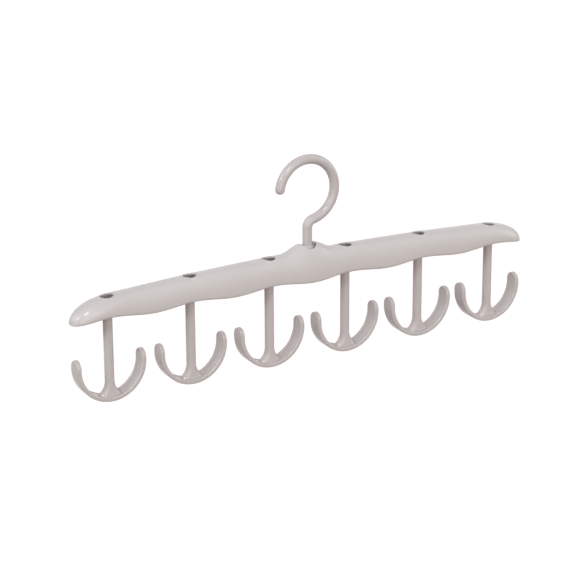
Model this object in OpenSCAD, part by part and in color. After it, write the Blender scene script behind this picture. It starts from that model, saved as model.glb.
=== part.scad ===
// Tie hanger: a moulded beam that turns under one rod hook and carries six swivelling anchor hooks.
// Millimetres, +Z up, X along the beam, Y from its front (-Y) to its back.
// The origin is the point where a closet rod bears on the main hook: the crown of the loop's inner side.

/* [Overall] */
// Distance from one anchor hook's stem to the next
anchor_pitch = 60; // [52:0.5:75]
// Length of beam past the outermost stems, at each end
end_overhang = 26.6; // [22:0.1:36]
// Drop from the rod's bearing point to the beam's ridge beside the boss
seat_to_ridge = 60.5; // [50:0.5:80]
// Drop from the beam's lower edge at a stem to the underside of an anchor hook
anchor_drop = 59; // [48:0.5:75]

/* [Beam] */
// Width of the beam at its widest level
beam_w = 20; // [19:0.5:26]
// Height of the beam beside the boss, from ridge to lower edge
beam_h = 17.5; // [15.5:0.5:24]
// How square the arched section is: 2 gives half an ellipse
arch = 2.8; // [2:0.1:3.4]
// How much lower the ridge lies at the outermost stems than at the middle
ridge_droop = 4.9; // [0:0.1:6]
// How far the lower edge bulges down between two stems
scallop = 2.4; // [0:0.1:5]
// Wall of the moulded shell
wall = 1.8; // [1.2:0.1:2.2]
// Length of the rounded nose at each end
nose_l = 30; // [20:0.5:38]
// How far the widest level sinks from the start of a nose to its tip
nose_drop = 2.4; // [0:0.1:4]
// Height of the rounded tuck under the beam's widest level
tuck_h = 1.9; // [1:0.1:3]
// How far that tuck draws the lower edge in
tuck_in = 1.1; // [0.2:0.1:1.5]
// Thickness of the stiffening ribs inside
rib_t = 1.4; // [1:0.1:2.5]
// Height of the lower edge below the ribs
rib_lift = 4.5; // [3:0.5:8]

/* [Centre boss] */
// Rise of the boss above the ridge
boss_rise = 5.5; // [3:0.1:9]
// Half length of the level top of the boss, along the beam
boss_top = 5; // [2:0.5:8]
// Half length of the foot of the boss, along the beam
boss_foot = 20.5; // [16:0.5:28]
// How many times longer the boss is along the beam than across it
boss_oval = 1.4; // [1:0.1:1.8]
// Extra width of the beam at the boss, on each side
boss_bulge = 0.8; // [0:0.1:2]
// Bore of the pocket that holds the hook's collar
pocket_d = 12.1; // [11:0.1:13]
// Depth of that pocket
pocket_depth = 6.5; // [5:0.1:9]
// Thickness of the bearing web under the pocket
hook_web = 8; // [5:0.5:9]

/* [Main hook] */
// Diameter of the hook's round rod
rod_d = 6.6; // [6:0.1:7.6]
// Largest closet rod that the loop takes, as a diameter
loop_d = 36; // [30:0.5:42]
// Radius of the bend from shank to loop, on the rod's centre line
bend_r = 5.6; // [4.5:0.1:9]
// How far the loop's open end reaches past the level through its centre, in degrees
loop_end = -9; // [-25:1:15]
// Diameter of the collar on the shank
collar_d = 9.4; // [9:0.1:10.5]
// Height of the collar
collar_h = 4.6; // [3:0.1:6]
// Rounding of the collar's upper edge
collar_edge = 1; // [0.3:0.1:1.4]
// Diameter of the journal that turns in the bearing web
hook_journal_d = 6; // [5:0.1:6.6]
// Height of the snap head under the web
hook_head_h = 3.8; // [3:0.1:4.5]

/* [Anchor hooks] */
// Diameter of a stem
stem_d = 6.4; // [5.6:0.1:7.4]
// Outer radius of the curved band
band_r = 24.7; // [21:0.1:27]
// Thickness of the band
band_t = 3; // [2.6:0.1:3.8]
// Width of the band, from front to back
band_w = 10.8; // [8:0.1:12.5]
// Rounding of the band's edges
band_edge = 1.2; // [0.6:0.1:1.3]
// Straight length at each end of the band, between its half circle and the rounded tip
band_end = 1.2; // [0.2:0.1:5]
// Radius of the flare from stem to band
flare_r = 10; // [5:0.1:12]
// Diameter of the journal that turns in the beam
journal_d = 5; // [4.4:0.1:5.2]
// Height of the snap head on top of the journal
head_h = 3.2; // [2.6:0.1:3.8]

/* [Swivel seats in the beam] */
// Bore of the round hole over each stem
hole_d = 8.9; // [8.2:0.1:9.6]
// Wall of the round boss around that hole
seat_wall = 1.6; // [1.2:0.1:2]
// Height of that boss over the bearing web, round the snap head
seat_h = 3.6; // [2.6:0.1:4.5]
// Thickness of the bearing web that the anchor hooks turn in
web = 3.6; // [3:0.1:4.5]
// Height of that web's underside above the lower edge at the stem
web_lift = 1.4; // [1:0.1:2.5]
// How far a snap head stands out over its journal, on each side
barb = 0.75; // [0.5:0.05:0.9]
// Width of the slot that lets a snap head close as it is pressed through its bore
snap_slot = 1.6; // [1.4:0.1:2]
// Clearance of a journal in its bore, on the radius
run_gap = 0.08; // [0.04:0.01:0.1]
// End play of a swivel, on each side of its web
end_gap = 0.3; // [0.2:0.05:0.5]

/* [Hidden] */
$fn = 72;
// A cut runs this far past the face that it opens
over = 1;

// The anchor hooks and the beam's ends
anchors = 6;
function stem_x(i) = (i - (anchors + 1) / 2) * anchor_pitch;
last_stem = stem_x(anchors);
beam_end = last_stem + end_overhang;
nose_start = beam_end - nose_l;

// Levels, from the top down
rod_r = rod_d / 2;
loop_r = loop_d / 2 + rod_r;
loop_z = -loop_d / 2;
ridge_top = -seat_to_ridge;
boss_z = ridge_top + boss_rise;
hem_top = ridge_top - beam_h;
pocket_z = boss_z - pocket_depth;
hook_web_z = pocket_z - hook_web;
web_z = hem_top + web_lift;
anchor_z = hem_top - anchor_drop;

// The loop's arc meets the bend tangentially, so the line between their centres passes through the joint
bend_z = loop_z - sqrt(pow(loop_r + bend_r, 2) - pow(bend_r, 2));
bend_angle = atan2(loop_z - bend_z, bend_r);

// The beam's lines, as functions of the place along it
function smooth(t) = let (u = min(1, max(0, t))) u * u * (3 - 2 * u);
function into_nose(x) = min(1, max(0, (abs(x) - nose_start) / nose_l));
function nose_height(x) = sqrt(1 - pow(into_nose(x), 2.1));
function nose_width(x) = sqrt(1 - pow(into_nose(x), 4));
function tuck(x) = tuck_h * sqrt(1 - pow(into_nose(x), 1.5));
function boss_at(x, y) = smooth((boss_foot - norm([x, boss_oval * y])) / (boss_foot - boss_top));
function widest(x) = hem_top + tuck_h - scallop * (1 + cos(360 * x / anchor_pitch)) / 2
                     - nose_drop * pow(into_nose(x), 2.5);
function plain_ridge(x) = ridge_top - ridge_droop * pow(x / last_stem, 2);
function ridge(x) = widest(x) + (plain_ridge(x) - widest(x)) * nose_height(x);
function half_width(x) = (beam_w / 2 + boss_bulge * boss_at(x, 0)) * nose_width(x);
// The section grows rounder as it runs out into a nose
function squareness(x) = arch + (2 - arch) * into_nose(x);
// A point of the arch over x, at angle a from its front foot: w is its half width, h its height
function arch_y(x, w, a) = -w * sign(cos(a)) * pow(abs(cos(a)), 2 / squareness(x));
function arch_z(x, y, h, a) = (h + boss_rise * boss_at(x, y)) * pow(sin(a), 2 / squareness(x));

// Points of the arched section at x, from the front foot over the ridge to the back foot.
// The outer skin tucks in under its widest level; the cavity is a wall thinner and runs out below.
skin_steps = 20;
function skin(x) =
    let (w = half_width(x), wide = widest(x), h = ridge(x) - wide, draw = tuck_in * nose_width(x))
    [for (i = [-2 : skin_steps + 2])
        let (a = 180 * i / skin_steps, under = 45 * max(-i, i - skin_steps))
        let (y = arch_y(x, w, a))
        under > 0 ? [x, sign(i) * (w - draw * (1 - cos(under))), wide - tuck(x) * sin(under)]
        : [x, y, wide + arch_z(x, y, h, a)]];

cavity_steps = 14;
cavity_end = beam_end - wall;
function cavity(x) =
    let (stretch = beam_end / cavity_end, w = half_width(x * stretch) - wall * nose_width(x),
         wide = widest(x), h = ridge(x * stretch) - wall - wide, below = wide - tuck_h - over)
    concat([[x, -w, below]],
        [for (i = [0 : cavity_steps])
            let (a = 180 * i / cavity_steps, y = arch_y(x, w, a))
            [x, y, wide + arch_z(x, y, h, a)]],
        [[x, w, below]]);

// Stations along the beam: even between the noses, then closer and closer to the tip
function stations(end, per_pitch, nose_steps) =
    let (start = nose_start, n = ceil(2 * start / anchor_pitch * per_pitch),
         nose = [for (i = [1 : nose_steps - 1]) start + (end - start) * sin(90 * i / nose_steps)])
    concat([for (i = [nose_steps - 2 : -1 : 0]) -nose[i]],
        [for (i = [0 : n]) start * (2 * i / n - 1)], nose);

// A closed skin through rings of equal length, ended by a point at each side
module loft(rings, first, last) {
    m = len(rings[0]);
    count = len(rings);
    points = concat([first], [for (r = rings) for (p = r) p], [last]);
    function at(r, i) = 1 + r * m + i % m;
    faces = concat(
        [for (i = [0 : m - 1]) [0, at(0, i + 1), at(0, i)]],
        [for (r = [0 : count - 2]) for (i = [0 : m - 1]) [at(r, i), at(r, i + 1), at(r + 1, i)]],
        [for (r = [0 : count - 2]) for (i = [0 : m - 1]) [at(r + 1, i), at(r, i + 1), at(r + 1, i + 1)]],
        [for (i = [0 : m - 1]) [len(points) - 1, at(count - 1, i), at(count - 1, i + 1)]]);
    polyhedron(points, faces, convexity = 8);
}

module beam_skin() {
    loft([for (x = stations(beam_end, 13, 9)) skin(x)],
        [-beam_end, 0, widest(beam_end)], [beam_end, 0, widest(beam_end)]);
}

module beam_cavity() {
    loft([for (x = stations(cavity_end, 8, 6)) cavity(x)],
        [-cavity_end, 0, widest(beam_end) - tuck_h], [cavity_end, 0, widest(beam_end) - tuck_h]);
}

// The round bosses that carry the swivels, and the ribs that tie them to the walls
module swivel_bosses() {
    for (i = [1 : anchors])
        translate([stem_x(i), 0, web_z]) cylinder(d = hole_d + 2 * seat_wall, h = web + seat_h);
    translate([0, 0, hook_web_z]) cylinder(d = pocket_d + 2 * seat_wall, h = beam_h);
}

module ribs() {
    rib_z = hem_top + rib_lift;
    // None stands at the middle, where the main hook's snap head turns and its web ties the walls
    for (i = [1 : 2 * anchors - 1]) if (i != anchors)
        translate([stem_x(1) + (i - 1) * anchor_pitch / 2 - rib_t / 2, -beam_w, rib_z])
            cube([rib_t, 2 * beam_w, beam_h]);
}

// Everything that is bored from above: each anchor hook's seat and the collar's pocket
module bores() {
    for (i = [1 : anchors]) translate([stem_x(i), 0, web_z]) {
        translate([0, 0, -over]) cylinder(d = journal_d + 2 * run_gap, h = web + 2 * over);
        translate([0, 0, web]) cylinder(d = hole_d, h = beam_h);
    }
    translate([0, 0, hook_web_z - over]) cylinder(d = hook_journal_d + 2 * run_gap, h = hook_web + 2 * over);
    translate([0, 0, pocket_z]) cylinder(d = pocket_d, h = beam_h);
}

module beam() {
    color([0.80, 0.78, 0.76]) difference() {
        beam_skin();
        difference() {
            beam_cavity();
            swivel_bosses();
            ribs();
        }
        bores();
    }
}

// A rod bent to an arc of radius r in the XZ plane, from angle a to angle b
module bent_rod(r, a, b) {
    rotate([90, 0, 0]) rotate([0, 0, a]) rotate_extrude(angle = b - a)
        translate([r, 0]) circle(d = rod_d);
}

// The ball that closes or joins rods, at angle a on an arc of radius r. It is a hair larger than the
// rod, so that its surface crosses theirs cleanly, and its two poles along the rod are flat.
module rod_ball(r, a) {
    hair = 0.03;
    rotate([0, -a, 0]) translate([r, 0, 0]) intersection() {
        sphere(r = rod_r + hair);
        cube([2 * rod_d, 2 * rod_d, rod_d - 2 * hair], center = true);
    }
}

// A journal with a barbed head at its upper end. A slot splits the head and most of the journal
// into two springy legs, so that the head can close.
module snap_end(d, neck, head_height) {
    head = d + 2 * barb;
    rim = 0.35 * head_height;
    lead_in = d - 2 * barb;
    leg_foot = 0.3 * neck;
    difference() {
        union() {
            cylinder(d = d, h = neck + over / 2);
            translate([0, 0, neck]) cylinder(d = head, h = rim);
            translate([0, 0, neck + rim]) cylinder(d1 = head, d2 = lead_in, h = head_height - rim);
        }
        translate([-head, -snap_slot / 2, leg_foot])
            cube([2 * head, snap_slot, neck + head_height - leg_foot + over]);
    }
}

module main_hook() {
    collar_z = pocket_z + end_gap;
    shank_l = bend_z - collar_z - collar_h / 2;
    color([0.77, 0.74, 0.73]) {
        // Loop, with a ball at its open end and at the bend
        translate([0, 0, loop_z]) {
            bent_rod(loop_r, -bend_angle, 180 + loop_end);
            rod_ball(loop_r, 180 + loop_end);
            rod_ball(loop_r, -bend_angle);
        }
        // Bend and shank
        translate([bend_r, 0, bend_z]) {
            bent_rod(bend_r, 180 - bend_angle, 180);
            translate([-bend_r, 0, -shank_l]) cylinder(d = rod_d, h = shank_l);
        }
        // Collar, with its upper edge rounded
        translate([0, 0, collar_z]) rotate_extrude() {
            square([collar_d / 2, collar_h - collar_edge]);
            square([collar_d / 2 - collar_edge, collar_h]);
            translate([collar_d / 2 - collar_edge, collar_h - collar_edge]) circle(r = collar_edge);
        }
        // Journal and snap head, hanging through the web
        translate([0, 0, collar_z]) mirror([0, 0, 1])
            snap_end(hook_journal_d, hook_web + 2 * end_gap, hook_head_h);
    }
}

// The band's section: a flat bar with rounded edges, r out from the arc's centre
module band_section() {
    for (y = [-1, 1]) for (r = [-1, 1])
        translate([band_r - band_t / 2 + r * (band_t / 2 - band_edge), y * (band_w / 2 - band_edge)])
            circle(r = band_edge);
    translate([band_r - band_t, -band_w / 2 + band_edge]) square([band_t, band_w - 2 * band_edge]);
    translate([band_r - band_t + band_edge, -band_w / 2]) square([band_t - 2 * band_edge, band_w]);
}

// Half of that section, about the line through its middle, for the round tip
module band_half_section() {
    for (r = [-1, 1]) translate([band_w / 2 - band_edge, r * (band_t / 2 - band_edge)]) circle(r = band_edge);
    translate([0, -band_t / 2]) square([band_w / 2 - band_edge, band_t]);
    translate([0, -band_t / 2 + band_edge]) square([band_w / 2, band_t - 2 * band_edge]);
}

module anchor_band() {
    translate([0, 0, band_r]) {
        rotate([90, 0, 0]) rotate([0, 0, 180]) rotate_extrude(angle = 180) band_section();
        for (side = [0, 1]) mirror([side, 0, 0]) {
            linear_extrude(height = band_end) band_section();
            translate([band_r - band_t / 2, 0, band_end]) rotate([0, 90, 0]) rotate([0, 0, 90])
                rotate_extrude(angle = 180) band_half_section();
        }
    }
}

// The stem parts into the two arms: to each side its round section bends over into the band,
// and stops at the middle of the band's thickness
module flare() {
    turn = stem_d / 2 + flare_r;
    intersection() {
        for (side = [0, 1]) mirror([side, 0, 0]) translate([turn, 0, band_t + flare_r])
            rotate([90, 0, 0]) rotate([0, 0, 180]) rotate_extrude(angle = 65)
                translate([turn, 0]) circle(d = stem_d);
        translate([0, band_w / 2, band_r]) rotate([90, 0, 0]) cylinder(r = band_r - band_t / 2, h = band_w);
    }
}

module anchor_hook(i) {
    shoulder = web_z - end_gap - anchor_z;
    color([0.77, 0.74, 0.73]) translate([stem_x(i), 0, anchor_z]) {
        anchor_band();
        flare();
        translate([0, 0, band_t / 2]) cylinder(d = stem_d, h = shoulder - band_t / 2);
        translate([0, 0, shoulder]) snap_end(journal_d, web + 2 * end_gap, head_h);
    }
}

beam();
main_hook();
anchor_hook(1);  // anchor_hook_1
anchor_hook(2);  // anchor_hook_2
anchor_hook(3);  // anchor_hook_3
anchor_hook(4);  // anchor_hook_4
anchor_hook(5);  // anchor_hook_5
anchor_hook(6);  // anchor_hook_6
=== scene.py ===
import math
from collections import Counter

import bpy
from mathutils import Matrix, Vector


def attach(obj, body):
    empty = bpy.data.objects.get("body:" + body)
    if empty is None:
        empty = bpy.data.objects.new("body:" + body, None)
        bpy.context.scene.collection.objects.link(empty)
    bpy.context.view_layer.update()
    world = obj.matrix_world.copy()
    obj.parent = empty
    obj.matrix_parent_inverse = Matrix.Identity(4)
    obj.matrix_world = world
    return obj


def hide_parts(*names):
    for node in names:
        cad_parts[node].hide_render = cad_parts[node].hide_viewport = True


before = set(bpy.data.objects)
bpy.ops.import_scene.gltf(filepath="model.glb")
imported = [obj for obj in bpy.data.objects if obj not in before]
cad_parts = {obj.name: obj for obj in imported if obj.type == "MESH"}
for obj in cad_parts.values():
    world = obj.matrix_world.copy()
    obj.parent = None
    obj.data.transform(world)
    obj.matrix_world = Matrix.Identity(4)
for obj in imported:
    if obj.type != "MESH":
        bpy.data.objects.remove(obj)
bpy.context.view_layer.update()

MM = 0.001
# In metres: corners this close are merged, and heights this close are the same
MERGE = 1e-6
SAME = 1e-7

# The beam's lines, in millimetres, as the part has them
PITCH = 60.0
STEMS = [-150.0, -90.0, -30.0, 30.0, 90.0, 150.0]
BEAM_END = 176.6
HALF_BEAM = 10.0
LEAST_HALF = 1e-6
WALL = 1.8
ARCH = 2.8
RIDGE_TOP = -60.5
RIDGE_FALL = 4.9
HEM_TOP = -78.0
BULGE = 2.4
TUCK = 1.9
TUCK_IN = 1.1

# Its noses: the larger its number, the nearer to the tip a line turns in
NOSE_START = 146.6
NOSE_LENGTH = 30.0
NOSE_DROP = 2.4
DROP_LATE = 2.5
RIDGE_LATE = 2.1
SIDE_LATE = 4
TUCK_LATE = 1.5

# Its boss, and the pocket in it for the main hook
BOSS_RISE = 5.5
BOSS_TOP_R = 5.0
BOSS_FOOT_R = 20.5
BOSS_OVAL = 1.4
BOSS_SWELL = 0.8
POCKET_R = 6.05
POCKET_SEAT_R = 7.65
POCKET_FLOOR = -61.5
POCKET_LIP = 0.3
HOOK_WEB_LOW = -69.5
HOOK_BORE_R = 3.08

# Its hollow, with rounded hems, swivel seats and ribs
CAVITY_END = BEAM_END - WALL
HEM_ROUND = 0.35
SEAT_R = 6.05
SEAT_TOP = -69.4
WEB_LOW = -76.6
WEB_TOP = -73.0
BORE_R = 2.58
RIB_LOW = -73.5
RIB_T = 1.4
# Ribs stand at the stems and halfway between them, but not under the main hook
RIBS = sorted(STEMS + [x + PITCH / 2 for x in STEMS[:-1] if x + PITCH / 2])

# Its ridge holes: the lip, the raised rim and the slim shell edge
HOLE_R = 4.45
HOLE_LIP = 0.12
LIP_BELOW = 0.6
LIP_TURN = math.radians(72)
LIP_FLARE = 1.25
RIM_R = 0.6
RIM_PROUD = 0.26
RIM_LAP = 0.1
EDGE_T = 0.9
RELIEF_IN = 0.27
RELIEF_UP = 0.4
RELIEF_LAP = 0.7

# Cutters: how far they reach past what they cut, and sizes that are simply ample
MOUTH_PAST = 1.5
BORE_PAST = 1
SLOT_PAST = 1
FAR_UP = 20
RIB_ACROSS = 40
SLOT_ALONG = 14

# Round tools are turned a little, each kind by its own angle, so that none of
# their corners meets an edge of the beam's grid
MOUTH_TURN = 0.013
TOOL_TURN = 1.7 * MOUTH_TURN
RIM_TURN = 2.6 * MOUTH_TURN

# The main hook
ROD_R = 3.3
LOOP_R = 21.3
LOOP_Z = -18.0
BEND_R = 5.6
BEND_Z = LOOP_Z - math.sqrt((LOOP_R + BEND_R) ** 2 - BEND_R ** 2)
BEND_ANGLE = math.atan2(LOOP_Z - BEND_Z, BEND_R)
LOOP_END = math.radians(-9)
TIP_SHARE = 0.985
COLLAR_Z = -61.2
COLLAR_R = 4.7
COLLAR_EDGE = 0.3
COLLAR_SIDE = 3.6
COLLAR_ROUND = 1.0
COLLAR_HIGH = COLLAR_SIDE + COLLAR_ROUND
FILLET_OUT, FILLET_UP = 0.12, 0.15
HOOK_JOURNAL_R = 3.0
HOOK_NECK = 8.6
HOOK_HEAD = 3.8

# An anchor hook, measured up from its underside
ANCHOR_Z = -137.0
BAND_R = 24.7
BAND_T = 3.0
BAND_W = 10.8
BAND_EDGE = 0.8
BAND_END = 1.2
LIP_R = 0.75
LIP_ROUND = math.radians(110)
DISH = 0.42
DISH_SLOPE = 0.3
STEM_R = 3.2
FLARE_R = 10.0
FLARE_CROWD = 1.2
FOOT_SPREAD = 0.2
SPREAD_LOW = 3
SUNK = 1
SHOULDER = 60.1
SHOULDER_EDGE = 0.3
JOURNAL_R = 2.5
NECK = 4.2
HEAD = 3.2

# Both kinds of snap head: the barb, its upright share of the head, and the slot, which
# starts this share of the neck out from its foot
BARB = 0.75
BARB_SHARE = 0.35
SLOT_T = 1.6
SLOT_SHARE = 0.3

# Sides of the round pieces, and steps along the curves
HOLE_SIDES = 72
RIM_SIDES = 16
STEM_SIDES = 72
ROD_SIDES = 64
SNAP_SIDES = 48
SKIN_STEP, SKIN_NOSE_STEPS = 1.5, 20
CAVITY_STEP, CAVITY_NOSE_STEPS = 2.5, 10
ARCH_STEPS = 48
TUCK_STEPS = 4
HEM_STEPS = 3
MOUTH_STEPS = 4
COLLAR_STEPS = 6
BEND_STEPS = 16
LOOP_STEPS = 96
DOME_STEPS = 12
BAND_STEPS = 96
TONGUE_STEPS = 36
LIP_STEPS = 6
EDGE_STEPS = 5
FLARE_STEPS = 32
SHAFT_STEPS = 12
FAN_FACES = 8
SMOOTH_ANGLE = math.radians(32)


# ---------------------------------------------------------------- bench

def quarter(steps):
    """The angles of a quarter turn in even steps, both ends included."""
    return [math.pi / 2 * k / steps for k in range(steps + 1)]


def put_down():
    """Leaves edit mode and deselects everything."""
    if bpy.context.object and bpy.context.object.mode == "EDIT":
        bpy.ops.object.mode_set(mode="OBJECT")
    bpy.ops.object.select_all(action="DESELECT")


def take(*pieces):
    """Selects these pieces, the first one active."""
    put_down()
    for piece in pieces:
        piece.select_set(True)
    bpy.context.view_layer.objects.active = pieces[0]


def new_circle(name, sides, radius, place, turn=(0, 0, 0), filled=True):
    """A disc, or a bare circle, left selected in edit mode."""
    put_down()
    bpy.ops.mesh.primitive_circle_add(
        vertices=sides, radius=radius * MM, fill_type="NGON" if filled else "NOTHING",
        location=[c * MM for c in place], rotation=turn)
    piece = bpy.context.object
    piece.name = piece.data.name = name
    bpy.ops.object.transform_apply(location=True, rotation=True, scale=True)
    bpy.ops.object.mode_set(mode="EDIT")
    bpy.ops.mesh.select_all(action="SELECT")
    return piece


def push(move):
    """Extrudes the selected end and moves it."""
    bpy.ops.mesh.extrude_region_move(TRANSFORM_OT_translate={"value": [c * MM for c in move]})


def draw_out(move):
    """Extrudes the selected open edge and moves it."""
    bpy.ops.mesh.extrude_edges_move(TRANSFORM_OT_translate={"value": [c * MM for c in move]})


def widen(factor, centre):
    """Scales the selected end about a centre."""
    bpy.ops.transform.resize(value=(factor,) * 3, center_override=[c * MM for c in centre])


def swing(steps, angle, centre):
    """Spins the open end round a centre in the XZ plane."""
    bpy.ops.mesh.spin(steps=steps, angle=angle, center=[c * MM for c in centre], axis=(0, 1, 0))


def close_up(piece):
    """Merges doubles and turns the faces outwards."""
    take(piece)
    bpy.ops.object.mode_set(mode="EDIT")
    bpy.ops.mesh.select_all(action="SELECT")
    bpy.ops.mesh.remove_doubles(threshold=MERGE)
    bpy.ops.mesh.normals_make_consistent(inside=False)
    bpy.ops.object.mode_set(mode="OBJECT")
    return piece


def smooth(piece):
    """Shades a finished piece smooth but for its sharp edges."""
    take(piece)
    bpy.ops.object.shade_smooth_by_angle(angle=SMOOTH_ANGLE)
    return piece


def combine(piece, tool, way):
    """Applies one boolean step to a piece and clears the tool away."""
    take(piece)
    bpy.ops.object.modifier_add(type="BOOLEAN")
    step = piece.modifiers[-1]
    step.operation = way
    step.solver = "MANIFOLD"
    step.object = tool
    bpy.ops.object.modifier_apply(modifier=step.name)
    bpy.data.objects.remove(tool)


def cut(piece, tool):
    """Takes a tool's shape out of a piece."""
    combine(piece, tool, "DIFFERENCE")


def weld(piece, tool):
    """Makes a tool's shape part of a piece."""
    combine(piece, tool, "UNION")


def joined(pieces, name):
    """Several meshes as one."""
    take(*pieces)
    bpy.ops.object.join()
    whole = bpy.context.object
    whole.name = whole.data.name = name
    return whole


def raised(name, profile, sides):
    """A round piece up along Z, its top left selected. A profile step is (radius, height)."""
    radius, z = profile[0]
    piece = new_circle(name, sides, radius, (0, 0, z))
    for new_radius, new_z in profile[1:]:
        push((0, 0, new_z - z))
        widen(new_radius / radius, (0, 0, new_z))
        radius, z = new_radius, new_z
    return piece


def round_tool(name, x, radius, low, high):
    """A plain round bar over x."""
    tool = new_circle(name, HOLE_SIDES, radius, (x, 0, low), turn=(0, 0, TOOL_TURN))
    push((0, 0, high - low))
    return close_up(tool)


def slab_tool(name, x, along, across, low, high):
    """A block over x, with its size along the beam and across it."""
    put_down()
    bpy.ops.mesh.primitive_cube_add(size=1, location=(x * MM, 0, (low + high) / 2 * MM))
    slab = bpy.context.object
    slab.name = name
    slab.scale = (along * MM, across * MM, (high - low) * MM)
    bpy.ops.object.transform_apply(location=True, rotation=True, scale=True)
    return slab


# ---------------------------------------------------------------- beam

def ease(t):
    """A soft step from 0 to 1."""
    t = min(1.0, max(0.0, t))
    return t * t * (3 - 2 * t)


def into_nose(x):
    """How deep in a nose a place lies: 0 where it starts, 1 at its tip."""
    return min(1.0, max(0.0, (abs(x) - NOSE_START) / NOSE_LENGTH))


def left_over(x, late):
    """The share of a measure that the nose leaves at x. A larger late makes a blunter nose."""
    return math.sqrt(max(0.0, 1 - into_nose(x) ** late))


def boss_at(x, y):
    """The boss over a point: 1 on its top, 0 beyond its foot."""
    return ease((BOSS_FOOT_R - math.hypot(x, BOSS_OVAL * y)) / (BOSS_FOOT_R - BOSS_TOP_R))


def widest(x):
    """The level where the beam is widest: low between the stems and in the noses."""
    bulge = BULGE * (1 + math.cos(math.tau * x / PITCH)) / 2
    return HEM_TOP + TUCK - bulge - NOSE_DROP * into_nose(x) ** DROP_LATE


def ridge(x):
    """The ridge's level, without the boss."""
    plain = RIDGE_TOP - RIDGE_FALL * (x / STEMS[-1]) ** 2
    low = widest(x)
    return low + (plain - low) * left_over(x, RIDGE_LATE)


def half_width(x):
    """Half of the beam's width, a little more at the boss."""
    return (HALF_BEAM + BOSS_SWELL * boss_at(x, 0)) * left_over(x, SIDE_LATE)


def tuck(x):
    """How far the hem lies below the widest level."""
    return TUCK * left_over(x, TUCK_LATE)


def squareness(x):
    """The arch's exponent: full along the beam, down to an ellipse's 2 at the tips."""
    return ARCH + (2 - ARCH) * into_nose(x)


def crown(x, y):
    """Height of the beam's skin over a point."""
    p = squareness(x)
    share = min(1.0, abs(y) / max(half_width(x), LEAST_HALF))
    rise = ridge(x) - widest(x) + BOSS_RISE * boss_at(x, y)
    return widest(x) + rise * (1 - share ** p) ** (1 / p)


def over_arch(x, w, h, foot):
    """Points at x from the front foot over the arch to the back foot.

    The arch has half width w, and height h beside the boss. The foot's points run down, as (y, z).
    """
    bend = 2 / squareness(x)
    points = [(x, -y, z) for y, z in reversed(foot)]
    for k in range(ARCH_STEPS + 1):
        a = math.pi * k / ARCH_STEPS
        y = -w * math.copysign(abs(math.cos(a)) ** bend, math.cos(a))
        rise = h + BOSS_RISE * boss_at(x, y)
        points.append((x, y, widest(x) + rise * abs(math.sin(a)) ** bend))
    return points + [(x, y, z) for y, z in foot]


def skin_section(x):
    """The beam's outer line at x, tucked in at its foot."""
    w, wide = half_width(x), widest(x)
    draw = TUCK_IN * left_over(x, SIDE_LATE)
    foot = [(w - draw * (1 - math.cos(u)), wide - tuck(x) * math.sin(u))
            for u in quarter(TUCK_STEPS)[1:]]
    return over_arch(x, w, ridge(x) - wide, foot)


def cavity_section(x):
    """The same for the hollow, which opens a little at the hem."""
    stretch = BEAM_END / CAVITY_END
    w, wide = half_width(x * stretch) - WALL * left_over(x, SIDE_LATE), widest(x)
    hem = wide - tuck(x)
    foot = [(w + HEM_ROUND * (1 - math.cos(u)), hem + HEM_ROUND * (1 - math.sin(u)))
            for u in quarter(HEM_STEPS)]
    foot.append((w + HEM_ROUND, hem - MOUTH_PAST))
    return over_arch(x, w, ridge(x * stretch) - WALL - wide, foot)


def stations(end, step, nose_steps):
    """Places along the beam, even between the noses and closer towards each tip."""
    count = math.ceil(2 * NOSE_START / step)
    middle = [NOSE_START * (2 * k / count - 1) for k in range(count + 1)]
    nose = [NOSE_START + (end - NOSE_START) * math.sin(u) for u in quarter(nose_steps)[1:-1]]
    return [-x for x in reversed(nose)] + middle + nose


def lofted(name, places, section):
    """A circle pushed through every place, its rings laid on the sections there."""
    sides = len(section(0.0))
    run = new_circle(name, sides, 1.0, (places[0], 0, 0), turn=(0, math.pi / 2, 0))
    for here, there in zip(places, places[1:]):
        push((there - here, 0, 0))
    bpy.ops.object.mode_set(mode="OBJECT")
    rings = {}
    for v in run.data.vertices:
        x = min(places, key=lambda p: abs(p - v.co.x / MM))
        if x not in rings:
            rings[x] = section(x)
        turn = round(math.atan2(v.co.z, -v.co.y) / math.tau * sides) % sides
        v.co = Vector(rings[x][turn]) * MM
    return run


def pointed(run, tip_x, tip_z):
    """Draws both ends of a lofted run out to a point."""
    mesh = run.data
    take(run)
    for side in (-1, 1):
        far = max(side * v.co.x for v in mesh.vertices)
        for element in (*mesh.polygons, *mesh.edges, *mesh.vertices):
            element.select = False
        for f in mesh.polygons:
            f.select = all(abs(side * mesh.vertices[i].co.x - far) < SAME for i in f.vertices)
        bpy.ops.object.mode_set(mode="EDIT")
        bpy.ops.mesh.select_mode(type="FACE")
        bpy.ops.mesh.poke()
        bpy.ops.object.mode_set(mode="OBJECT")
        faces_at = Counter(i for f in mesh.polygons for i in f.vertices)
        for v in mesh.vertices:
            if v.select and faces_at[v.index] > FAN_FACES:
                v.co = Vector((side * tip_x, 0, tip_z)) * MM


def at_level(z):
    """A ring that lies level."""
    return lambda x, y: z


def under_skin(drop):
    """A ring that follows the skin, this far below it."""
    return lambda x, y: crown(x, y) - drop


def ring_tool(name, x, rings):
    """A round cutter over x. Each ring is (radius, how it lies)."""
    tool = new_circle(name, HOLE_SIDES, rings[0][0], (x, 0, 0))
    for _ in rings[1:]:
        push((0, 0, 1))
    bpy.ops.object.mode_set(mode="OBJECT")
    for v in tool.data.vertices:
        r, height = rings[round(v.co.z / MM)]
        a = math.atan2(v.co.y, v.co.x - x * MM) + MOUTH_TURN
        px, py = x + r * math.cos(a), r * math.sin(a)
        v.co = Vector((px, py, height(px, py))) * MM
    return close_up(tool)


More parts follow.
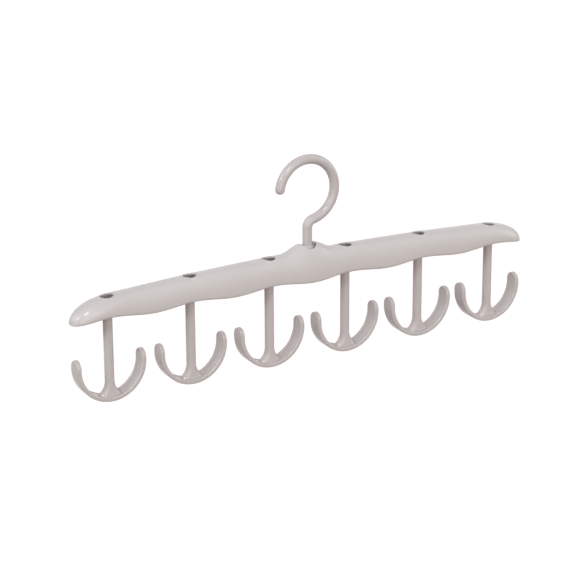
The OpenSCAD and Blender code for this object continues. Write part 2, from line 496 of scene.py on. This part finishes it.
def mouth_tool(x, radius, floor, lip):
    """A bore whose mouth opens over a soft lip that follows the skin."""
    rings = [(radius, at_level(floor)), (radius, under_skin(LIP_BELOW + lip))]
    for k in range(MOUTH_STEPS + 1):
        u = LIP_TURN * k / MOUTH_STEPS
        rings.append((radius + lip * (1 - math.cos(u)), under_skin(lip * (1 - math.sin(u)))))
    rings.append((radius + lip * LIP_FLARE, under_skin(-MOUTH_PAST)))
    return ring_tool("mouth", x, rings)


def relief_tool(x):
    """Thins the shell from inside round a hole, so that its edge is slim."""
    r = SEAT_R - RELIEF_IN
    rings = [(r, at_level(SEAT_TOP + RELIEF_UP)), (r, under_skin(EDGE_T)),
             (HOLE_R - RELIEF_LAP, under_skin(EDGE_T))]
    return ring_tool("relief", x, rings)


def hole_rim(x):
    """A thin raised rim that follows the skin round a hole."""
    put_down()
    bpy.ops.mesh.primitive_torus_add(
        major_radius=(HOLE_R + RIM_R - RIM_LAP) * MM, minor_radius=RIM_R * MM,
        major_segments=HOLE_SIDES, minor_segments=RIM_SIDES,
        location=(x * MM, 0, 0), rotation=(0, 0, RIM_TURN))
    rim = bpy.context.object
    bpy.ops.object.transform_apply(location=True, rotation=True)
    for v in rim.data.vertices:
        v.co.z += (crown(v.co.x / MM, v.co.y / MM) - RIM_R + RIM_PROUD) * MM
    return rim


def make_beam():
    """The shell: outer skin, hollow with its seats and ribs, then every bore and mouth."""
    beam = lofted("beam_shell", stations(BEAM_END, SKIN_STEP, SKIN_NOSE_STEPS), skin_section)
    pointed(beam, BEAM_END, widest(BEAM_END))
    close_up(beam)
    places = stations(CAVITY_END, CAVITY_STEP, CAVITY_NOSE_STEPS)
    hollow = close_up(lofted("hollow", places, cavity_section))
    seats = [round_tool("seat", x, SEAT_R, WEB_LOW, SEAT_TOP) for x in STEMS]
    seats.append(round_tool("seat", 0, POCKET_SEAT_R, HOOK_WEB_LOW, HOOK_WEB_LOW + FAR_UP))
    cut(hollow, joined(seats, "seats"))
    ribs = [slab_tool("rib", x, RIB_T, RIB_ACROSS, RIB_LOW, RIB_LOW + FAR_UP) for x in RIBS]
    cut(hollow, joined(ribs, "ribs"))
    cut(beam, hollow)
    bores = [round_tool("bore", x, BORE_R, WEB_LOW - BORE_PAST, WEB_TOP + BORE_PAST)
             for x in STEMS]
    bores.append(round_tool("bore", 0, HOOK_BORE_R, HOOK_WEB_LOW - BORE_PAST,
                            POCKET_FLOOR + BORE_PAST))
    cut(beam, joined(bores, "bores"))
    for x in STEMS:
        cut(beam, relief_tool(x))
        weld(beam, hole_rim(x))
        cut(beam, mouth_tool(x, HOLE_R, WEB_TOP, HOLE_LIP))
    cut(beam, mouth_tool(0, POCKET_R, POCKET_FLOOR, POCKET_LIP))
    return smooth(beam)


# ---------------------------------------------------------------- snap heads

def snap_head(journal_r, head):
    """Profile of a barbed head, from the neck's end outwards: (radius, how far out)."""
    barb_r = journal_r + BARB
    return [(journal_r, 0), (barb_r, 0), (barb_r, BARB_SHARE * head), (journal_r - BARB, head)]


def split(piece, foot, tip):
    """Cuts a slot from a neck's foot out past the tip, which leaves two springy legs."""
    cut(piece, slab_tool("slot", 0, SLOT_ALONG, SLOT_T, min(foot, tip), max(foot, tip)))


# ---------------------------------------------------------------- main hook

def round_tip():
    """Draws the rod's open end in to a half ball and closes it with a small face."""
    end = math.pi + LOOP_END
    foot = Vector((LOOP_R * math.cos(end), 0, LOOP_Z + LOOP_R * math.sin(end)))
    ahead = Vector((-math.sin(end), 0, math.cos(end)))
    angles = quarter(DOME_STEPS)
    angles[-1] *= TIP_SHARE
    for before, after in zip(angles, angles[1:]):
        travel = ROD_R * (math.sin(after) - math.sin(before))
        draw_out(ahead * travel)
        widen(math.cos(after) / math.cos(before), foot + ahead * ROD_R * math.sin(after))
    bpy.ops.mesh.edge_face_add()


def make_main_hook():
    """Snap head, journal, collar and shank in one column, spun on into the bend and the loop."""
    neck_end = COLLAR_Z - HOOK_NECK
    head = snap_head(HOOK_JOURNAL_R, HOOK_HEAD)
    profile = [(r, neck_end - out) for r, out in reversed(head)]
    profile += [(HOOK_JOURNAL_R, COLLAR_Z), (COLLAR_R - COLLAR_EDGE, COLLAR_Z),
                (COLLAR_R, COLLAR_Z + COLLAR_EDGE)]
    profile += [(COLLAR_R - COLLAR_ROUND + COLLAR_ROUND * math.cos(u),
                 COLLAR_Z + COLLAR_SIDE + COLLAR_ROUND * math.sin(u))
                for u in quarter(COLLAR_STEPS)]
    profile += [(ROD_R + FILLET_OUT, COLLAR_Z + COLLAR_HIGH),
                (ROD_R, COLLAR_Z + COLLAR_HIGH + FILLET_UP), (ROD_R, BEND_Z)]
    hook = raised("rod_hook", profile, ROD_SIDES)
    bpy.ops.mesh.delete(type="ONLY_FACE")
    bpy.ops.object.mode_set(mode="OBJECT")
    for v in hook.data.vertices:
        v.select = abs(v.co.z - BEND_Z * MM) < SAME
    for e in hook.data.edges:
        e.select = all(hook.data.vertices[i].select for i in e.vertices)
    bpy.ops.object.mode_set(mode="EDIT")
    bpy.ops.mesh.select_mode(type="EDGE")
    swing(BEND_STEPS, -BEND_ANGLE, (BEND_R, 0, BEND_Z))
    swing(LOOP_STEPS, math.pi + LOOP_END + BEND_ANGLE, (0, 0, LOOP_Z))
    round_tip()
    close_up(hook)
    split(hook, COLLAR_Z - SLOT_SHARE * HOOK_NECK, neck_end - HOOK_HEAD - SLOT_PAST)
    return smooth(hook)


# ---------------------------------------------------------------- anchor hooks

def half_outline():
    """Half of the band's section: (across, through).

    It runs from the middle of the dished inner face over the rounded edge to the outer face.
    """
    side, face = BAND_W / 2, BAND_T / 2
    points = [(0, DISH - face), (side - 2 * LIP_R - DISH_SLOPE, DISH - face),
              (side - 2 * LIP_R, DISH / 2 - face)]
    for k in range(LIP_STEPS + 1):
        u = LIP_ROUND * (k / LIP_STEPS - 1)
        points.append((side - LIP_R + LIP_R * math.cos(u), LIP_R - face + LIP_R * math.sin(u)))
    for u in quarter(EDGE_STEPS):
        points.append((side - BAND_EDGE + BAND_EDGE * math.cos(u),
                       face - BAND_EDGE + BAND_EDGE * math.sin(u)))
    points.append((0, face))
    return points


def ring_on(name, points):
    """A circle whose corners are laid on these points in turn, all selected in edit mode."""
    ring = new_circle(name, len(points), 1.0, (0, 0, 0), filled=False)
    bpy.ops.object.mode_set(mode="OBJECT")
    for v in ring.data.vertices:
        turn = round(math.atan2(v.co.y, v.co.x) / math.tau * len(points)) % len(points)
        v.co = Vector(points[turn]) * MM
    bpy.ops.object.mode_set(mode="EDIT")
    bpy.ops.mesh.select_all(action="SELECT")
    return ring


def make_band():
    """The curved bar, spun from arm to arm about the middle of its circle."""
    half = half_outline()
    closed = half + [(-across, through) for across, through in reversed(half[1:-1])]
    middle, top = BAND_R - BAND_T / 2, BAND_R + BAND_END
    band = ring_on("band", [(middle + through, across, top) for across, through in closed])
    draw_out((0, 0, -BAND_END))
    swing(BAND_STEPS, -math.pi, (0, 0, BAND_R))
    draw_out((0, 0, BAND_END))
    return band


def make_tongue(side):
    """The rounded end of an arm: half the section, spun half round the line through its middle."""
    out = Vector((side, 0, 0))
    centre = Vector((0, 0, BAND_R + BAND_END)) + out * (BAND_R - BAND_T / 2)
    points = [centre + out * through + Vector((0, across, 0))
              for across, through in half_outline()]
    tongue = ring_on("tongue", points)
    bpy.ops.mesh.spin(steps=TONGUE_STEPS, angle=-math.pi, center=centre * MM, axis=out * side)
    return tongue


def stem_edge(across, z):
    """Half length of the stem along the beam at a place across it.

    Low down, the stem parts into the two arms.
    """
    turn, level = STEM_R + FLARE_R, BAND_T + FLARE_R
    half = math.sqrt(max(0.0, STEM_R ** 2 - across ** 2))
    if z >= level:
        return half
    inside = math.sqrt((BAND_R - BAND_T / 2) ** 2 - (BAND_R - z) ** 2)
    return min(inside, turn - math.sqrt(max(0.0, (turn - half) ** 2 - (level - z) ** 2)))


def make_stem():
    """Stem and flare in one column, its rings laid where the rounds of the two arms run."""
    low, level, high = BAND_T - SUNK, BAND_T + FLARE_R, SHOULDER - SHOULDER_EDGE
    heights = [low + (level - low) * (k / FLARE_STEPS) ** FLARE_CROWD
               for k in range(FLARE_STEPS + 1)]
    heights += [level + (high - level) * k / SHAFT_STEPS for k in range(1, SHAFT_STEPS + 1)]
    stem = new_circle("stem", STEM_SIDES, STEM_R, (0, 0, heights[0]))
    for here, there in zip(heights, heights[1:]):
        push((0, 0, there - here))
    push((0, 0, SHOULDER_EDGE))
    widen((STEM_R - SHOULDER_EDGE) / STEM_R, (0, 0, SHOULDER))
    bpy.ops.object.mode_set(mode="OBJECT")
    for v in stem.data.vertices:
        x, y, z = v.co / MM
        if z < SHOULDER - SHOULDER_EDGE / 2:
            across = STEM_R * y / math.hypot(x, y)
            spread = 1 + FOOT_SPREAD * max(0.0, (level - z) / level) ** SPREAD_LOW
            v.co = Vector((math.copysign(stem_edge(across, z), x), across * spread, z)) * MM
    return close_up(stem)


def make_snap():
    """An anchor hook's journal and split head."""
    neck_end = SHOULDER + NECK
    profile = [(JOURNAL_R, SHOULDER - SUNK)]
    profile += [(r, neck_end + out) for r, out in snap_head(JOURNAL_R, HEAD)]
    snap = close_up(raised("snap", profile, SNAP_SIDES))
    split(snap, SHOULDER + SLOT_SHARE * NECK, neck_end + HEAD + SLOT_PAST)
    return snap


def make_anchor_hook():
    """One hook over the origin; the others are its copies."""
    anchor = close_up(joined([make_band(), make_tongue(1), make_tongue(-1)], "anchor"))
    weld(anchor, make_stem())
    weld(anchor, make_snap())
    return smooth(anchor)


# ---------------------------------------------------------------- finishes

# The plastics: how strongly, how broadly and between which noise levels the tone drifts
DRIFT = 0.015
DRIFT_SCALE, DRIFT_DETAIL = 22, 3
DRIFT_FROM, DRIFT_TO = 0.3, 0.7
# Their grain, and what it does to the gloss and to the surface (its depth in metres)
GRAIN_SCALE, GRAIN_DETAIL = 1400, 2
DULLER, GLOSSIER = 0.07, 0.05
BUMP, BUMP_DEPTH = 0.12, 0.00003
PLASTIC_IOR = 1.46


def bare_tree(owner, output):
    """An owner's node tree with nothing in it but an output, and the socket for its surface."""
    owner.use_nodes = True
    tree = owner.node_tree
    tree.nodes.clear()
    return tree, tree.nodes.new(output).inputs["Surface"]


def add_node(tree, kind, values):
    """A new node with these inputs set."""
    node = tree.nodes.new(kind)
    for name, value in values.items():
        node.inputs[name].default_value = value
    return node


def plastic(name, colour, rough):
    """A satin moulded plastic: slow drift in tone, a fine dull grain."""
    m = bpy.data.materials.new(name)
    tree, surface = bare_tree(m, "ShaderNodeOutputMaterial")
    body = add_node(tree, "ShaderNodeBsdfPrincipled", {"IOR": PLASTIC_IOR})
    place = tree.nodes.new("ShaderNodeTexCoord")
    drift = add_node(tree, "ShaderNodeTexNoise", {"Scale": DRIFT_SCALE, "Detail": DRIFT_DETAIL})
    tone = tree.nodes.new("ShaderNodeValToRGB")
    darker, lighter = tone.color_ramp.elements
    darker.position, lighter.position = DRIFT_FROM, DRIFT_TO
    darker.color = [c * (1 - DRIFT) for c in colour] + [1]
    lighter.color = [c * (1 + DRIFT) for c in colour] + [1]
    grain = add_node(tree, "ShaderNodeTexNoise", {"Scale": GRAIN_SCALE, "Detail": GRAIN_DETAIL})
    sheen = add_node(tree, "ShaderNodeMapRange",
                     {"To Min": rough - GLOSSIER, "To Max": rough + DULLER})
    bump = add_node(tree, "ShaderNodeBump", {"Strength": BUMP, "Distance": BUMP_DEPTH})
    tree.links.new(place.outputs["Object"], drift.inputs["Vector"])
    tree.links.new(drift.outputs["Fac"], tone.inputs["Fac"])
    tree.links.new(tone.outputs["Color"], body.inputs["Base Color"])
    tree.links.new(place.outputs["Object"], grain.inputs["Vector"])
    tree.links.new(grain.outputs["Fac"], sheen.inputs["Value"])
    tree.links.new(sheen.outputs["Result"], body.inputs["Roughness"])
    tree.links.new(grain.outputs["Fac"], bump.inputs["Height"])
    tree.links.new(bump.outputs["Normal"], body.inputs["Normal"])
    tree.links.new(body.outputs["BSDF"], surface)
    return m


def dress(piece, finish):
    """Gives a piece its one finish."""
    piece.data.materials.clear()
    piece.data.materials.append(finish)


beam_finish = plastic("warm_grey_plastic", (0.58, 0.55, 0.535), 0.22)
hook_finish = plastic("rosy_grey_plastic", (0.528, 0.489, 0.474), 0.15)

beam = make_beam()
dress(beam, beam_finish)
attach(beam, "beam")
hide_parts("beam")

hook = make_main_hook()
dress(hook, hook_finish)
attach(hook, "main_hook")
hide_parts("main_hook")

pattern = make_anchor_hook()
for k, x in enumerate(STEMS, 1):
    one = pattern.copy()
    one.data = pattern.data.copy()
    one.name = one.data.name = f"tie_anchor_{k}"
    bpy.context.scene.collection.objects.link(one)
    one.data.transform(Matrix.Translation(Vector((x, 0, ANCHOR_Z)) * MM))
    dress(one, hook_finish)
    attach(one, f"anchor_{k}")
    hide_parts(f"anchor_hook_{k}")
bpy.data.objects.remove(pattern)


# ---------------------------------------------------------------- stage

SKY, SKY_TONE = 0.245, (1.0, 0.861, 0.964)
WHITE = 1.0, (1.0, 1.0, 1.0)
FLOOR_TONE, FLOOR_LIFT = (0.222, 0.172, 0.161), 0.87
FLOOR_SIZE, FLOOR_Z = 40, -1.6
# name, energy, tint, width in degrees, the way towards the lamp
LAMPS = [
    ("key_light", 1.0, (0.875, 0.983, 1.0), 14, (-0.45, -0.5, 0.8)),
    ("left_light", 0.88, (0.832, 0.98, 1.0), 20, (-0.85, -0.1, 0.52)),
    ("front_light", 1.95, (1.0, 0.918, 0.889), 60, (-0.2, -0.97, 0.1)),
    ("right_light", 0.82, (0.855, 1.0, 0.914), 40, (0.9, -0.35, 0.25)),
    ("back_light", 0.52, (1.0, 0.795, 0.784), 30, (-0.7, 0.5, 0.5)),
    ("rear_light", 1.3, (1.0, 0.95, 0.93), 40, (0.47, 0.85, 0.12)),
]
# This lamp is left out of the gloss, where it would brighten the outlines
NO_GLOSS = "rear_light"

# The photograph's viewpoint in metres, then its focal length and width in pixels
AZIMUTH, ELEVATION, ROLL = math.radians(-30.35), math.radians(18.87), math.radians(-0.29)
TARGET, REACH = Vector((-0.0164, 0, -0.0832)), 1.391
FOCAL_LENGTH, PHOTO_WIDTH = 2062, 573
SENSOR = 36
CLIP_START, CLIP_END = 0.05, 60


def larger_of(tree, one, other):
    """The larger of two values."""
    node = tree.nodes.new("ShaderNodeMath")
    node.operation = "MAXIMUM"
    tree.links.new(one, node.inputs[0])
    tree.links.new(other, node.inputs[1])
    return node.outputs["Value"]


def backdrop_ray(tree):
    """1 for the rays that show the backdrop: camera, gloss and transmission."""
    path = tree.nodes.new("ShaderNodeLightPath")
    some = larger_of(tree, path.outputs["Is Camera Ray"], path.outputs["Is Glossy Ray"])
    return larger_of(tree, some, path.outputs["Is Transmission Ray"])


def make_floor():
    """A matt floor; its lift makes it as white as the backdrop where it is seen."""
    put_down()
    bpy.ops.mesh.primitive_plane_add(size=FLOOR_SIZE, location=(0, 0, FLOOR_Z))
    floor = bpy.context.object
    floor.name = "floor"
    m = bpy.data.materials.new("pale_floor")
    tree, surface = bare_tree(m, "ShaderNodeOutputMaterial")
    matt = add_node(tree, "ShaderNodeBsdfDiffuse", {"Color": FLOOR_TONE + (1,)})
    glow = tree.nodes.new("ShaderNodeEmission")
    lift = add_node(tree, "ShaderNodeMath", {1: FLOOR_LIFT})
    lift.operation = "MULTIPLY"
    both = tree.nodes.new("ShaderNodeAddShader")
    tree.links.new(backdrop_ray(tree), lift.inputs[0])
    tree.links.new(lift.outputs["Value"], glow.inputs["Strength"])
    tree.links.new(matt.outputs["BSDF"], both.inputs[0])
    tree.links.new(glow.outputs["Emission"], both.inputs[1])
    tree.links.new(both.outputs["Shader"], surface)
    floor.data.materials.append(m)


def light_room():
    """A dim room, white where it is seen, and the lamps."""
    world = bpy.data.worlds.new("room")
    bpy.context.scene.world = world
    tree, surface = bare_tree(world, "ShaderNodeOutputWorld")
    seen = tree.nodes.new("ShaderNodeMixShader")
    tree.links.new(backdrop_ray(tree), seen.inputs["Fac"])
    for place, (strength, tone) in enumerate([(SKY, SKY_TONE), WHITE], 1):
        light = add_node(tree, "ShaderNodeBackground", {"Color": tone + (1,), "Strength": strength})
        tree.links.new(light.outputs["Background"], seen.inputs[place])
    tree.links.new(seen.outputs["Shader"], surface)
    for name, energy, tone, width, way in LAMPS:
        put_down()
        bpy.ops.object.light_add(type="SUN", location=way)
        lamp = bpy.context.object
        lamp.name = name
        lamp.data.energy = energy
        lamp.data.color = tone
        lamp.data.angle = math.radians(width)
        lamp.rotation_euler = Vector(way).to_track_quat("Z", "Y").to_euler()
        lamp.visible_glossy = name != NO_GLOSS


def set_camera():
    """Looks from the photograph's viewpoint."""
    level = math.cos(ELEVATION)
    back = Vector((math.sin(AZIMUTH) * level, -math.cos(AZIMUTH) * level, math.sin(ELEVATION)))
    ahead = -back
    side = ahead.cross(Vector((0, 0, 1))).normalized()
    top = side.cross(ahead)
    right = math.cos(ROLL) * side + math.sin(ROLL) * top
    up = -math.sin(ROLL) * side + math.cos(ROLL) * top
    put_down()
    bpy.ops.object.camera_add()
    camera = bpy.context.object
    camera.name = "camera"
    turn = Matrix((right, up, back)).transposed().to_4x4()
    camera.matrix_world = Matrix.Translation(TARGET + back * REACH) @ turn
    camera.data.sensor_width = SENSOR
    camera.data.lens = SENSOR * FOCAL_LENGTH / PHOTO_WIDTH
    camera.data.clip_start, camera.data.clip_end = CLIP_START, CLIP_END
    bpy.context.scene.camera = camera


make_floor()
light_room()
set_camera()
bpy.context.scene.view_settings.view_transform = "Standard"
